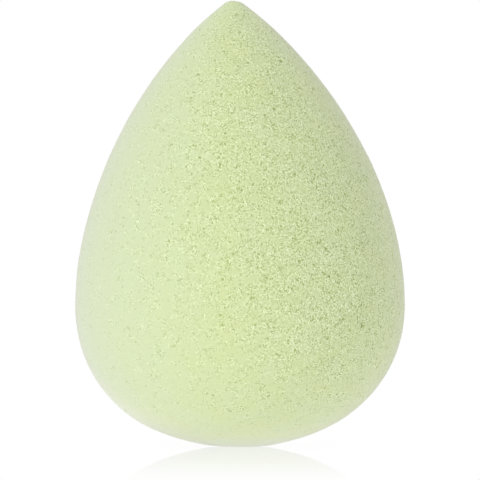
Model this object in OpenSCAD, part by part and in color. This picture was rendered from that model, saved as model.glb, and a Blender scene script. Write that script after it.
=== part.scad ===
// Teardrop makeup sponge, moulded and ground in one piece from soft foam.
// It is a solid of revolution. Its outline is one chain of five arcs, each tangent to the next:
// a broad base that it stands on, a tighter hip, a belly at the widest level, a long flank and a
// rounded tip. All lengths are in millimetres. The origin is the middle of the resting face,
// and +Z runs up the axis to the tip.

/* [Overall size] */
// Height from the resting face to the tip
sponge_h = 60; // [52:0.5:72]
// Diameter at the widest level
sponge_d = 44.4; // [40:0.2:50]
// Height of the widest level above the resting face
widest_z = 18.9; // [16:0.1:21]

/* [Rounded end] */
// Diameter of the flat that the sponge stands on
rest_d = 8.4; // [4:0.1:12]
// Angle from straight down at which the base meets the hip
base_turn = 29; // [20:1:36]

/* [Pointed end] */
// Radius of the belly, which starts upright at the widest level
belly_r = 39.5; // [30:0.5:44]
// Angle that the belly leans in by before the flank takes over
belly_turn = 11; // [4:1:18]
// Radius of the rounded tip
tip_r = 2; // [1:0.1:4]

/* [Hidden] */
foam_colour = [0.84, 0.9, 0.69];

// Sides of the round section, and the most that the outline turns from one point to the next
$fn = 180;
outline_step = 2;

// Angles of the outward normal: straight down, level and straight up
down = -90;
level = 0;
up = 90;

// The unit vector at an angle, and the point at a distance that way from a centre
function direction(angle) = [cos(angle), sin(angle)];
function at(centre, distance, angle) = centre + distance * direction(angle);

widest_r = sponge_d / 2;
rest_r = rest_d / 2;

// Base and hip: the base's centre is on the axis, and the hip's is inset from it so that the two
// arcs touch at base_turn and the hip stands upright at the widest level. Whatever the base's
// radius, its centre is then rise_share * (base_r - widest_r) above that level. The radius is the
// one for which the base also passes through the edge of the resting face.
rise_share = cos(base_turn) / (1 - sin(base_turn));
rise_gap = rise_share * widest_r - widest_z;
rise_excess_share = rise_share * rise_share - 1;
base_r = (rise_share * rise_gap + sqrt(rise_gap * rise_gap - rise_excess_share * rest_r * rest_r))
    / rise_excess_share;
base_centre = [0, sqrt(base_r * base_r - rest_r * rest_r)];
rest_edge_angle = down + asin(rest_r / base_r);
hip_start_angle = down + base_turn;
hip_inset = (base_r - widest_r) / (1 - sin(base_turn));
hip_centre = at(base_centre, hip_inset, hip_start_angle);
hip_r = base_r - hip_inset;

// Belly: centred at the widest level, beyond the axis
belly_centre = [widest_r - belly_r, widest_z];
belly_end = at(belly_centre, belly_r, belly_turn);

// Flank: tangent to the belly's end and to the tip. The same arc drawn in by the tip's radius
// runs from inner_start to the tip's centre, and the chord between those two gives its radius.
tip_centre = [0, sponge_h - tip_r];
inner_start = at(belly_end, -tip_r, belly_turn);
chord = tip_centre - inner_start;
flank_r = tip_r - (chord * chord) / (2 * chord * direction(belly_turn));
flank_centre = at(belly_end, -flank_r, belly_turn);
to_tip = tip_centre - flank_centre;
flank_end_angle = atan2(to_tip.y, to_tip.x);

// The chain from the resting face up: centre, radius, first and last angle of the normal
arcs = [
    [base_centre, base_r, rest_edge_angle, hip_start_angle],
    [hip_centre, hip_r, hip_start_angle, level],
    [belly_centre, belly_r, level, belly_turn],
    [flank_centre, flank_r, belly_turn, flank_end_angle],
    [tip_centre, tip_r, flank_end_angle, up],
];

// Points along one arc, without its first, which the arc before it has given
function arc_points(centre, r, from, to) =
    let (steps = ceil((to - from) / outline_step))
    [for (i = [1 : steps]) at(centre, r, from + (to - from) * i / steps)];

// Half of the outline, on the +X side of the axis
module outline() {
    polygon([
        [0, 0],
        [rest_r, 0],
        for (arc = arcs) each arc_points(arc[0], arc[1], arc[2], arc[3]),
    ]);
}

module foam_body() {
    color(foam_colour) rotate_extrude() outline();
}

foam_body();
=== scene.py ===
"""A teardrop makeup sponge of pale green foam, standing on its broad end on a glossy white table.

The sponge is one dense mesh. Its smooth form repeats the five arcs of the construction model. Low
swells, the lean of its middle line, a rounder foot and the foam's cut bubbles are worked into it.
"""

import math

import bpy
import numpy as np
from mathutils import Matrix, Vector, noise
from mathutils.kdtree import KDTree


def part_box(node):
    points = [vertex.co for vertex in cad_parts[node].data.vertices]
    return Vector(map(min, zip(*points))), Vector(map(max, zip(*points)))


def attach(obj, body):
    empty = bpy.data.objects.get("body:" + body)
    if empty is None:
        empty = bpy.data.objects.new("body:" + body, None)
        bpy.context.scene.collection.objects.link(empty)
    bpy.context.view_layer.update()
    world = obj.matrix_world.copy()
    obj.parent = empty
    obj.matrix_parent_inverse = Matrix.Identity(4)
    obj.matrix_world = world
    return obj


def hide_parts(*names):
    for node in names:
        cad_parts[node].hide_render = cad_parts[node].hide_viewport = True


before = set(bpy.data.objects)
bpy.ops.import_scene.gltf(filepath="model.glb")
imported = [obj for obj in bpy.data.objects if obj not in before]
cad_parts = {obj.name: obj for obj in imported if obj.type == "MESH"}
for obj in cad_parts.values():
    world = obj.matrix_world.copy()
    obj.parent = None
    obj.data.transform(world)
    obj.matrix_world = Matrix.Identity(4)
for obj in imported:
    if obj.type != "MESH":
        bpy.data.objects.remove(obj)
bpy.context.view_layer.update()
FOAM_LOW, FOAM_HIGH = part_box("foam_body")

MM = 0.001
WHITE = (1, 1, 1, 1)

# Sizes of the smooth form, as in the construction model
SPONGE_H = FOAM_HIGH.z - FOAM_LOW.z
WIDEST_R = (FOAM_HIGH.x - FOAM_LOW.x) / 2
WIDEST_Z = 18.9 * MM
REST_R = 4.2 * MM
BASE_TURN = math.radians(29)
BELLY_R = 39.5 * MM
BELLY_TURN = math.radians(11)
TIP_R = 2 * MM

# The mesh: parts that each edge of the icosahedron is split into, and the outline's finest turn.
# Directions nearer than the least angle count as one, and so do points that agree to as many
# decimals.
SPLITS = 288
OUTLINE_STEP = math.radians(0.25)
LEAST_ANGLE = 1e-9
SAME_DECIMALS = 7

# The texture layer: its columns and rows of cells, in each of which two of the icosahedron's faces
# lie, and the empty margin along their sides
CHART_LAYER = "OFBake"
CHART_COLUMNS, CHART_ROWS = 4, 3
CHART_MARGIN = 0.012

# The middle line leans to the viewer's left at the tip and at the foot. Each lean is a shift at
# the end, the height where it starts, and the power by which it grows.
TIP_LEAN, TIP_LEAN_START, TIP_LEAN_POWER = -0.9 * MM, 30 * MM, 1.4
FOOT_LEAN, FOOT_LEAN_START, FOOT_LEAN_POWER = -0.35 * MM, 16 * MM, 2

# The foam is a little fuller just below the tip: by how much, at which height, and its reach
FULLNESS, FULL_Z, FULL_REACH = 0.24 * MM, 56.5 * MM, 5 * MM

# The foot is rounder than the model's, and only the middle of the flat touches the table. Around
# that the foot is raised: by how much, and the distances from the axis at which the rise starts, is
# full, starts to fade and ends.
RAISE = 0.18 * MM
RAISE_START, RAISE_FULL, RAISE_FADE, RAISE_END = 2 * MM, 4.6 * MM, 5.5 * MM, 15 * MM

# The foam's bubbles: two even packings of cells, fine and coarse, and a few holes scattered among
# them. A packing has its splits of the icosahedron, and each kind has a mean radius, the spread of
# its logarithm, and the depth that its pits come near but don't pass. The centres lie at a range
# of depths, as shares of the radius. A warp keeps the pits from being round, with a noise of its
# own along each axis.
SEED = 7
FINE_CELLS = (100, 0.13 * MM, 0.25, 0.06 * MM)
COARSE_CELLS = (64, 0.16 * MM, 0.22, 0.19 * MM)
CELL_JITTER_SHARE = 0.32
HOLES = 500
HOLE_SIZES = (0.22 * MM, 0.2, 0.16 * MM)
CENTRE_DEPTH_SHARES = (-0.1, 0.7)
PIT_SLOPE = 1.3
WARP, WARP_LENGTH = 0.05 * MM, 0.3 * MM
WARP_OFFSETS = (10, 20, 30)

# How open the cells are. They are least open on the viewer's left and most on the right, by the
# sideways part of the smooth normal and a share of its upward part. All of that is left where the
# normal points this far to the front or the back, and a part of it along the two sides between.
# Patches, each with its height and wave length, are added. All of the sum is left above a height,
# and a part of it at the foot.
CLOSED_SIDE, OPEN_SIDE = -0.98, 0.9
UPWARD_SHARE = 0.5
LEAST_OPEN, MOST_OPEN = 0.19, 0.87
SIDE_OPEN, SIDE_REACH = 0.4, 0.9
PATCHES = ((0.42, 1.3 * MM), (0.5, 0.7 * MM))
PATCH_OFFSET = 50
FOOT_OPEN, FOOT_REACH = 0.4, 6 * MM
LEAST_OPEN_ANYWHERE = 0.07

# Where the cells are less open than this, a skin hides the shallow pits. It reaches its full
# thickness where they are closed, and there the pits that break through it gain in depth. The
# pits' mean depth is worked out for a few thicknesses, and read off between them.
SKINNED_BELOW = 0.45
SKIN, SKIN_GAIN = 0.06 * MM, 1.3
SKIN_LEVELS = 20

# A painted sheen: the colour turns paler and bluer on the viewer's left, at the tip and at the
# foot, where the light falls at grazing angles. It starts at a part of the smooth normal: sideways
# on the left, and upright on both ends.
LEFT_PAINTED_SHEEN_START, END_PAINTED_SHEEN_START = 0.1, 0.92

# Swells of the surface: height and wave length of each
SWELLS = (
    (0.07 * MM, 13 * MM),
    (0.03 * MM, 4.5 * MM),
    (0.012 * MM, 0.9 * MM),
    (0.02 * MM, 0.3 * MM),
)

# Colours, as linear red, green and blue. The foam's two mix in wide mottles. The pits' colour is
# painted shade and the nodes' colour a painted highlight; the surface reaches them at a depth below
# and above the mean, to which the grain's specks add.
FOAM_COLOUR = (0.656, 0.759, 0.417, 1)
FOAM_WARM_COLOUR = (0.664, 0.752, 0.385, 1)
# Painted sheen: the paler, bluer colour on the left and at the ends
PAINTED_SHEEN_COLOUR = (0.63, 0.715, 0.48, 1)
PAINTED_PIT_SHADE_COLOUR = (0.28, 0.375, 0.08, 1)
PAINTED_NODE_HIGHLIGHT_COLOUR = (0.87, 0.965, 0.61, 1)
PIT_SHADE_DEPTH, NODE_HIGHLIGHT_DEPTH = 0.144 * MM, -0.096 * MM

# Noises of the material: wave length and detail of each, and the part of its range in which it
# carries the mottles, the specks and the roughness from one end to the other
MOTTLE_LENGTH, MOTTLE_DETAIL = 3.5 * MM, 3
GRAIN_LENGTH, GRAIN_DETAIL = 0.16 * MM, 0
MOTTLE_RANGE = (0.35, 0.65)
SPECK_RANGE = (0.1, 0.9)
ROUGH_RANGE = (0.3, 0.7)
# How far the grain's specks move the depth that sets the painted shade and highlights
SPECK = 0.162 * MM
BUMP = 0.04 * MM
LEAST_ROUGH, MOST_ROUGH = 0.8, 0.95

# The foam's shine, and the sheen of its fuzz at grazing angles
SPECULAR_LEVEL = 0.5
SHEEN_WEIGHT, SHEEN_ROUGHNESS = 0.68, 0.45
SHEEN_TINT = (0.98, 0.92, 1, 1)

# The photograph's frame: its side at the sponge, and the height of its middle above the table
VIEW_SIDE = 64.65 * MM
VIEW_MIDDLE_Z = 27.8 * MM
CAMERA_DISTANCE = 650 * MM
CLIP_START, CLIP_END = 10 * MM, 10
SENSOR = 36

# The table: a white light table with a polished top. Around the sponge part of its light gives
# way to plain white that takes the shadow, and to a mirror image that fades with distance. What it
# sheds on the sponge is a little weaker from behind the middle than from the front.
FLOOR_SIDE = 4
FLOOR_WHITE = (0.92, 0.92, 0.92, 1)
SHADOW_SHARE, SHADOW_END = 0.06, 26 * MM
MIRROR_SHARE, MIRROR_START, MIRROR_END = 0.39, 5 * MM, 105 * MM
MIRROR_ROUGHNESS = 0.03
BEHIND_LEVEL, BEHIND_START, BEHIND_END = 0.82, -15 * MM, 20 * MM

# The room's brightness at eye level and overhead, and what that is multiplied by on the viewer's
# left and right and behind the sponge. Then the soft lamp at the front left.
ROOM_LEVEL = 0.77
ROOM_TOP = 0.715
ROOM_LEFT, ROOM_RIGHT = 1.035, 0.85
ROOM_BEHIND = 1.15
KEY_STRENGTH = 0.87
KEY_TURN = math.radians(-44)
KEY_RISE = math.radians(22)
KEY_SOFTNESS = math.radians(12)


def direction(angle):
    """The unit vector at an angle, as distance from the axis and height."""
    return np.array([math.cos(angle), math.sin(angle)])


def outline_arcs():
    """The five tangent arcs from the resting face up: centre, radius, first and last angle."""
    rise = math.cos(BASE_TURN) / (1 - math.sin(BASE_TURN))
    gap = rise * WIDEST_R - WIDEST_Z
    excess = rise * rise - 1
    base_r = (rise * gap + math.sqrt(gap * gap - excess * REST_R * REST_R)) / excess
    base = np.array([0, math.sqrt(base_r * base_r - REST_R * REST_R)])
    rest_edge = -math.pi / 2 + math.asin(REST_R / base_r)
    hip_start = -math.pi / 2 + BASE_TURN
    inset = (base_r - WIDEST_R) / (1 - math.sin(BASE_TURN))
    hip = base + inset * direction(hip_start)
    belly = np.array([WIDEST_R - BELLY_R, WIDEST_Z])
    tip = np.array([0, SPONGE_H - TIP_R])
    chord = tip - belly - (BELLY_R - TIP_R) * direction(BELLY_TURN)
    flank_r = TIP_R - chord @ chord / (2 * chord @ direction(BELLY_TURN))
    flank = belly + (BELLY_R - flank_r) * direction(BELLY_TURN)
    to_tip = tip - flank
    flank_end = math.atan2(to_tip[1], to_tip[0])
    return [
        (base, base_r, rest_edge, hip_start),
        (hip, base_r - inset, hip_start, 0),
        (belly, BELLY_R, 0, BELLY_TURN),
        (flank, flank_r, BELLY_TURN, flank_end),
        (tip, TIP_R, flank_end, math.pi / 2),
    ]


def outline():
    """Points and outward normals of half the section, from the middle of the resting face up."""
    down = direction(-math.pi / 2)
    points = [np.array([0, 0]), np.array([REST_R, 0])]
    normals = [down, down]
    for centre, radius, start, end in outline_arcs():
        steps = math.ceil((end - start) / OUTLINE_STEP)
        for angle in np.linspace(start, end, steps + 1)[1:]:
            points.append(centre + radius * direction(angle))
            normals.append(direction(angle))
    return np.array(points), np.array(normals)


def slerp(a, b, share):
    """Unit vectors part of the way from a to b, at even angles."""
    angle = np.arccos(np.clip(np.sum(a * b, axis=-1, keepdims=True), -1, 1))
    apart = angle > LEAST_ANGLE
    scale = np.where(apart, np.sin(angle), 1)
    mixed = (np.sin((1 - share) * angle) * a + np.sin(share * angle) * b) / scale
    return np.where(apart, mixed, a)


def icosahedron():
    """Twelve corners, one of them straight up, and twenty faces."""
    ring_z = 1 / math.sqrt(5)
    ring_r = 2 / math.sqrt(5)
    fifth = math.radians(72)
    upper = [(ring_r * math.cos(i * fifth), ring_r * math.sin(i * fifth), ring_z) for i in range(5)]
    lower = [
        (ring_r * math.cos((i + 0.5) * fifth), ring_r * math.sin((i + 0.5) * fifth), -ring_z)
        for i in range(5)
    ]
    corners = np.array([(0, 0, 1), *upper, *lower, (0, 0, -1)])
    faces = []
    for i in range(5):
        j = (i + 1) % 5
        faces += [(0, 1 + i, 1 + j), (1 + j, 1 + i, 6 + i), (1 + j, 6 + i, 6 + j), (11, 6 + j, 6 + i)]
    return corners, faces


def split_triangle(splits):
    """Row and column of each point of a split triangle, and its small triangles."""
    def number(row, column):
        return row * (row + 1) // 2 + column

    points = np.array([(row, column) for row in range(splits + 1) for column in range(row + 1)])
    row, column = points[points[:, 0] < splits].T
    upright = [number(row, column), number(row + 1, column), number(row + 1, column + 1)]
    row, column = row[column < row], column[column < row]
    hanging = [number(row, column), number(row + 1, column + 1), number(row, column + 1)]
    return points, np.concatenate([np.stack(upright, axis=1), np.stack(hanging, axis=1)])


def chart_place(number, flat):
    """Where a face's flat triangle lies on the texture: two faces share each cell."""
    cell, second = divmod(number, 2)
    inside = CHART_MARGIN + flat * (1 - 3 * CHART_MARGIN)
    if second:
        inside = 1 - inside
    corner = np.array([cell % CHART_COLUMNS, cell // CHART_COLUMNS])
    return (corner + inside) / (CHART_COLUMNS, CHART_ROWS)


def geodesic_sphere(splits):
    """Unit vectors, triangles, and the texture places of each triangle's corners."""
    corners, faces = icosahedron()
    rows, pattern = split_triangle(splits)
    down = rows[:, :1] / splits
    along = rows[:, 1:] / np.maximum(rows[:, :1], 1)
    flat = np.concatenate([rows[:, 1:] / splits, 1 - down], axis=1)
    points, triangles, charts = [], [], []
    for number, (a, b, c) in enumerate(faces):
        left = slerp(corners[a], corners[b], down)
        right = slerp(corners[a], corners[c], down)
        points.append(slerp(left, right, along))
        triangles.append(pattern + number * len(rows))
        charts.append(chart_place(number, flat)[pattern])
    points = np.concatenate(points)
    rounded = np.round(points, SAME_DECIMALS)
    _, kept, same = np.unique(rounded, axis=0, return_index=True, return_inverse=True)
    return points[kept], same.reshape(-1)[np.concatenate(triangles)], np.concatenate(charts)


def teardrop(units):
    """Carries points of the unit sphere to the smooth sponge, with equal shares of both areas."""
    points, normals = outline()
    steps = np.linalg.norm(np.diff(points, axis=0), axis=1)
    bands = steps * (points[1:, 0] + points[:-1, 0])
    reached = np.concatenate([[0], np.cumsum(bands)]) / bands.sum()
    wanted = (1 + units[:, 2]) / 2
    radius, height, out, up = (np.interp(wanted, reached, row) for row in (*points.T, *normals.T))
    turn = np.arctan2(units[:, 1], units[:, 0])
    cos, sin = np.cos(turn), np.sin(turn)
    places = np.stack([radius * cos, radius * sin, height], axis=1)
    return places, np.stack([out * cos, out * sin, up], axis=1)


def noise_at(points, wave_length, offset=0):
    """Smooth noise from -1 to 1 at each point. Each offset gives a noise of its own."""
    return np.array([noise.noise(place) for place in (points / wave_length + offset).tolist()])


def packed(splits, random):
    """An even packing of points about the unit sphere, each moved a little at random."""
    units = geodesic_sphere(splits)[0]
    spacing = math.sqrt(4 * math.pi / len(units))
    return units + CELL_JITTER_SHARE * spacing * random.normal(size=units.shape)


def warped(points):
    """A tree of the surface's points, each moved a little by smooth noise."""
    shifts = np.stack([noise_at(points, WARP_LENGTH, offset) for offset in WARP_OFFSETS], axis=1)
    tree = KDTree(len(points))
    for index, point in enumerate((points + WARP * shifts).tolist()):
        tree.insert(point, index)
    tree.balance()
    return tree


def cut(tree, count, units, mean_r, spread, limit, random):
    """How deep bubbles near these directions cut each of the tree's points."""
    middles, normals = teardrop(units / np.linalg.norm(units, axis=1, keepdims=True))
    radii = mean_r * np.exp(spread * random.normal(size=len(units)))
    sunk = radii * random.uniform(*CENTRE_DEPTH_SHARES, size=len(units))
    centres = middles - normals * sunk[:, None]
    depths = np.zeros(count)
    for centre, radius in zip(centres.tolist(), radii.tolist()):
        for _, index, distance in tree.find_range(centre, radius):
            depths[index] = max(depths[index], radius - distance)
    return limit * (1 - np.exp(-depths * PIT_SLOPE / limit))


def foam_pits(points):
    """How deep the cells and the holes cut each point of the smooth surface."""
    random = np.random.default_rng(SEED)
    tree = warped(points)
    pits = np.zeros(len(points))
    for splits, *sizes in (FINE_CELLS, COARSE_CELLS):
        pits = np.maximum(pits, cut(tree, len(points), packed(splits, random), *sizes, random))
    scattered = random.normal(size=(HOLES, 3))
    return np.maximum(pits, cut(tree, len(points), scattered, *HOLE_SIZES, random))


def smooth_step(values):
    """Values from 0 to 1 with level ends, held outside that range."""
    values = np.clip(values, 0, 1)
    return values * values * (3 - 2 * values)


def openness_at(points, normals):
    """How open the cells are, from the smooth surface."""
    turned = normals @ np.array([1, 0, UPWARD_SHARE])
    open_side = smooth_step((turned - CLOSED_SIDE) / (OPEN_SIDE - CLOSED_SIDE))
    facing = smooth_step(np.abs(normals[:, 1]) / SIDE_REACH)
    most = LEAST_OPEN + (MOST_OPEN - LEAST_OPEN) * open_side
    openness = most * (SIDE_OPEN + (1 - SIDE_OPEN) * facing)
    for amount, wave_length in PATCHES:
        openness += amount * noise_at(points, wave_length, PATCH_OFFSET)
    openness *= FOOT_OPEN + (1 - FOOT_OPEN) * smooth_step(points[:, 2] / FOOT_REACH)
    return np.maximum(openness, LEAST_OPEN_ANYWHERE)


def skinned(pits, openness):
    """The share of bare foam, and the pits' depths about a mean that is the same everywhere."""
    bare = np.clip(openness / SKINNED_BELOW, 0, 1)
    skin = SKIN * (1 - bare)
    levels = np.linspace(0, SKIN, SKIN_LEVELS)
    means = [np.maximum(pits - level, 0).mean() for level in levels]
    depths = np.maximum(pits - skin, 0) - np.interp(skin, levels, means)
    return bare, depths * openness * (1 + SKIN_GAIN * (1 - bare))


def painted_sheen_at(normals):
    """How much painted sheen shows, paler on the left and at the ends, from the smooth surface's
    normals.
    """
    sideways, _, upward = normals.T
    left = (-sideways - LEFT_PAINTED_SHEEN_START) / (1 - LEFT_PAINTED_SHEEN_START)
    end = (np.abs(upward) - END_PAINTED_SHEEN_START) / (1 - END_PAINTED_SHEEN_START)
    return np.clip(np.maximum(left, end), 0, 1)


def drift_at(heights):
    """How far the middle line lies to the viewer's right at each height."""
    tip = np.clip((heights - TIP_LEAN_START) / (SPONGE_H - TIP_LEAN_START), 0, None)
    foot = np.clip(1 - heights / FOOT_LEAN_START, 0, None)
    return TIP_LEAN * tip ** TIP_LEAN_POWER + FOOT_LEAN * foot ** FOOT_LEAN_POWER


def raise_at(points):
    """How far the foot is raised round the middle of the flat."""
    out = np.hypot(points[:, 0], points[:, 1])
    start = smooth_step((out - RAISE_START) / (RAISE_FULL - RAISE_START))
    fade = smooth_step((out - RAISE_FADE) / (RAISE_END - RAISE_FADE))
    return RAISE * start * (1 - fade) * (points[:, 2] < WIDEST_Z)


def foam_mesh():
    """The sponge's mesh, with attributes for the material: depth of pits, openness and painted sheen.
    """
    units, triangles, charts = geodesic_sphere(SPLITS)
    points, normals = teardrop(units)
    openness = openness_at(points, normals)
    bare, depths = skinned(foam_pits(points), openness)
    height = -depths
    for amount, wave_length in SWELLS:
        height += amount * noise_at(points, wave_length)
    raised = raise_at(points)
    points += normals * height[:, None]
    points[:, 2] += raised
    fullness = FULLNESS * np.exp(-((points[:, 2] - FULL_Z) / FULL_REACH) ** 2)
    points[:, :2] += fullness[:, None] * normals[:, :2]
    points[:, 0] += drift_at(points[:, 2])
    points[:, 2] = np.maximum(points[:, 2], 0)

    mesh = bpy.data.meshes.new("foam")
    mesh.vertices.add(len(points))
    mesh.vertices.foreach_set("co", points.ravel())
    mesh.loops.add(triangles.size)
    mesh.loops.foreach_set("vertex_index", triangles.ravel())
    mesh.polygons.add(len(triangles))
    mesh.polygons.foreach_set("loop_start", np.arange(0, triangles.size, 3))
    mesh.update(calc_edges=True)
    mesh.shade_smooth()
    mesh.uv_layers.new(name=CHART_LAYER).uv.foreach_set("vector", charts.ravel())
    attributes = {"pit": depths, "open": openness * bare, "painted_sheen": painted_sheen_at(normals)}
    for name, values in attributes.items():
        mesh.attributes.new(name, "FLOAT", "POINT").data.foreach_set("value", values)
    return mesh


def add_object(name, data):
    """A new object in the scene."""
    item = bpy.data.objects.new(name, data)
    bpy.context.scene.collection.objects.link(item)
    return item


def set_inputs(tree, node, inputs):
    """Sets or links a node's input sockets, from a dictionary of values and output sockets."""
    for socket, value in inputs.items():
        if isinstance(value, bpy.types.NodeSocket):
            tree.links.new(value, node.inputs[socket])
        else:
            node.inputs[socket].default_value = value


def add_node(tree, kind, inputs=None, **settings):
    """A new node with these inputs and settings."""
    node = tree.nodes.new(kind)
    for name, value in settings.items():
        setattr(node, name, value)
    set_inputs(tree, node, inputs or {})
    return node


def ranged(tree, value, start, end, first, last, way="LINEAR"):
    """A value carried from one range to another, and held at its ends."""
    inputs = {"Value": value, "From Min": start, "From Max": end, "To Min": first, "To Max": last}
    return add_node(tree, "ShaderNodeMapRange", inputs, interpolation_type=way).outputs["Result"]


def mixed(tree, share, first, second):
    """The first colour where share is 0, and the second where it is 1."""
    inputs = {"Factor": share, 6: first, 7: second}
    return add_node(tree, "ShaderNodeMix", inputs, data_type="RGBA").outputs[2]


def calculated(tree, operation, first, second):
    """The result of a sum or another operation on two values."""
    return add_node(tree, "ShaderNodeMath", {0: first, 1: second}, operation=operation).outputs[0]


def foam_material():
    """Matte foam with a soft sheen, painted shade down in its pits and painted highlights on its
    nodes.
    """
    material = bpy.data.materials.new("foam")
    material.use_nodes = True
    tree = material.node_tree
    place = add_node(tree, "ShaderNodeTexCoord").outputs["Object"]

    def noise_of(wave_length, detail):
        inputs = {"Vector": place, "Scale": 1 / wave_length, "Detail": detail}
        return add_node(tree, "ShaderNodeTexNoise", inputs).outputs["Fac"]

    def attribute(name):
        return add_node(tree, "ShaderNodeAttribute", attribute_name=name).outputs["Fac"]

    grain = noise_of(GRAIN_LENGTH, GRAIN_DETAIL)
    speck = ranged(tree, grain, *SPECK_RANGE, -SPECK, SPECK)
    speck = calculated(tree, "MULTIPLY", speck, attribute("open"))
    depth = calculated(tree, "SUBTRACT", attribute("pit"), speck)
    mottle = ranged(tree, noise_of(MOTTLE_LENGTH, MOTTLE_DETAIL), *MOTTLE_RANGE, 0, 1)
    colour = mixed(tree, mottle, FOAM_COLOUR, FOAM_WARM_COLOUR)
    # Painted sheen on the left and at the ends
    colour = mixed(tree, attribute("painted_sheen"), colour, PAINTED_SHEEN_COLOUR)
    # Painted shade in the pits and painted highlights on the nodes
    colour = mixed(tree, ranged(tree, depth, 0, PIT_SHADE_DEPTH, 0, 1), colour, PAINTED_PIT_SHADE_COLOUR)
    colour = mixed(tree, ranged(tree, depth, 0, NODE_HIGHLIGHT_DEPTH, 0, 1), colour, PAINTED_NODE_HIGHLIGHT_COLOUR)
    bump = add_node(tree, "ShaderNodeBump", {"Height": grain, "Strength": 1, "Distance": BUMP})
    set_inputs(tree, tree.nodes["Principled BSDF"], {
        "Base Color": colour,
        "Roughness": ranged(tree, grain, *ROUGH_RANGE, LEAST_ROUGH, MOST_ROUGH),
        "Normal": bump.outputs["Normal"],
        "Specular IOR Level": SPECULAR_LEVEL,
        "Sheen Weight": SHEEN_WEIGHT,
        "Sheen Tint": SHEEN_TINT,
        "Sheen Roughness": SHEEN_ROUGHNESS,
    })
    return material


def add_sponge():
    """The sponge: one block of foam that takes the place of the construction model's solid."""
    sponge = add_object("makeup_sponge_foam", foam_mesh())
    sponge.data.materials.append(foam_material())
    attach(sponge, "root")
    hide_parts("foam_body")


def add_camera():
    """A level camera far in front, so that the sponge fills the photograph's frame."""
    camera = add_object("camera", bpy.data.cameras.new("camera"))
    camera.location = (0, -CAMERA_DISTANCE, VIEW_MIDDLE_Z)
    camera.rotation_euler = (math.pi / 2, 0, 0)
    camera.data.sensor_width = SENSOR
    camera.data.lens = SENSOR * CAMERA_DISTANCE / VIEW_SIDE
    camera.data.clip_start = CLIP_START
    camera.data.clip_end = CLIP_END
    bpy.context.scene.camera = camera


def seen_or_mirrored(tree):
    """1 on rays from the camera, off glossy surfaces and through clear ones, else 0."""
    rays = add_node(tree, "ShaderNodeLightPath").outputs
    seen = calculated(tree, "MAXIMUM", rays["Is Camera Ray"], rays["Is Glossy Ray"])
    return calculated(tree, "MAXIMUM", seen, rays["Is Transmission Ray"])


def mixed_shader(tree, share, first, second):
    """The first shader where share is 0, and the second where it is 1."""
    return add_node(tree, "ShaderNodeMixShader", {0: share, 1: first, 2: second}).outputs[0]


def floor_material():
    """The white light table with its shadow and its fading mirror image round the sponge."""
    material = bpy.data.materials.new("table")
    material.use_nodes = True
    tree = material.node_tree
    tree.nodes.remove(tree.nodes["Principled BSDF"])
    place = add_node(tree, "ShaderNodeTexCoord").outputs["Object"]
    length = add_node(tree, "ShaderNodeVectorMath", {0: place}, operation="LENGTH").outputs["Value"]
    seen = seen_or_mirrored(tree)
    light = add_node(tree, "ShaderNodeEmission").outputs[0]
    along = add_node(tree, "ShaderNodeSeparateXYZ", {0: place}).outputs["Y"]
    level = ranged(tree, along, BEHIND_START, BEHIND_END, 1, BEHIND_LEVEL, "SMOOTHSTEP")
    shed = add_node(tree, "ShaderNodeEmission", {"Strength": level}).outputs[0]
    plain = add_node(tree, "ShaderNodeBsdfDiffuse", {"Color": FLOOR_WHITE}).outputs[0]
    mirror_inputs = {"Color": WHITE, "Roughness": MIRROR_ROUGHNESS}
    mirror = add_node(tree, "ShaderNodeBsdfAnisotropic", mirror_inputs).outputs[0]
    shadow_share = ranged(tree, length, 0, SHADOW_END, SHADOW_SHARE, 0, "SMOOTHSTEP")
    mirror_share = ranged(tree, length, MIRROR_START, MIRROR_END, MIRROR_SHARE, 0, "SMOOTHSTEP")
    table = mixed_shader(tree, shadow_share, light, plain)
    table = mixed_shader(tree, mirror_share, table, mirror)
    table = mixed_shader(tree, seen, shed, table)
    tree.links.new(table, tree.nodes["Material Output"].inputs["Surface"])
    return material


def add_floor():
    """The table's top, a wide square under the sponge that is no part of it."""
    half = FLOOR_SIDE / 2
    corners = [(-half, -half, 0), (half, -half, 0), (half, half, 0), (-half, half, 0)]
    mesh = bpy.data.meshes.new("table")
    mesh.from_pydata(corners, [], [(0, 1, 2, 3)])
    mesh.materials.append(floor_material())
    floor = add_object("table", mesh)


def add_light():
    """A white room, dimmer overhead and on the right, and one soft lamp from the front left."""
    world = bpy.data.worlds.new("room")
    bpy.context.scene.world = world
    world.use_nodes = True
    tree = world.node_tree
    tree.nodes.remove(tree.nodes["Background"])
    ray = add_node(tree, "ShaderNodeTexCoord").outputs["Generated"]
    parts = add_node(tree, "ShaderNodeSeparateXYZ", {0: ray}).outputs
    level = ranged(tree, parts["Z"], 0, 1, ROOM_LEVEL, ROOM_TOP)
    sideways = ranged(tree, parts["X"], -1, 1, ROOM_LEFT, ROOM_RIGHT)
    behind = ranged(tree, parts["Y"], 0, 1, 1, ROOM_BEHIND)
    brightness = calculated(tree, "MULTIPLY", calculated(tree, "MULTIPLY", level, sideways), behind)
    room = add_node(tree, "ShaderNodeBackground", {"Color": WHITE, "Strength": brightness})
    white = add_node(tree, "ShaderNodeBackground", {"Color": WHITE, "Strength": 1})
    both = mixed_shader(tree, seen_or_mirrored(tree), room.outputs[0], white.outputs[0])
    tree.links.new(both, tree.nodes["World Output"].inputs["Surface"])

    key = add_object("key", bpy.data.lights.new("key", "SUN"))
    key.data.energy = KEY_STRENGTH
    key.data.angle = KEY_SOFTNESS
    towards = Vector((math.sin(KEY_TURN), -math.cos(KEY_TURN), math.tan(KEY_RISE)))
    key.rotation_euler = towards.to_track_quat("Z", "Y").to_euler()


add_camera()
add_sponge()
add_floor()
add_light()
bpy.context.scene.view_settings.view_transform = "Standard"
